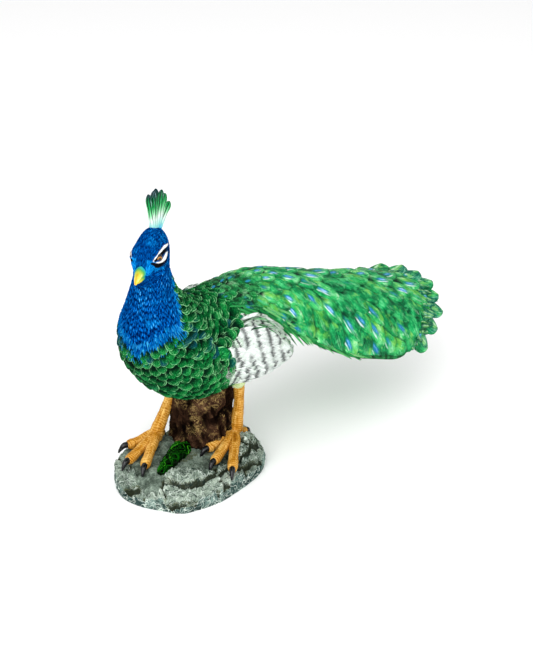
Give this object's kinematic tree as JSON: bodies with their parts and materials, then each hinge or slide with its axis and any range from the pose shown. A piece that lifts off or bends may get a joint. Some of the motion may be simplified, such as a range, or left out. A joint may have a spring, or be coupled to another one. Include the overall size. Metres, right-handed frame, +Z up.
{
  "type": "peacock figurine",
  "caption": "Painted resin figurine of a standing peacock with a long closed train, on a rock base with a tree stump and moss.",
  "frame": {"origin": "on the rock base's flat underside, between the bird's feet", "axes": "+Z up; the train runs along +Y and the breast faces -Y; +X is the bird's left side, which its head turns towards"},
  "size_m": [0.1168, 0.3295, 0.255],
  "materials": {
    "painted_resin": "hand-painted cast resin, satin to glossy"
  },
  "bodies": {
    "root": {"peacock_figurine": "painted_resin"}
  },
  "joints": []
}
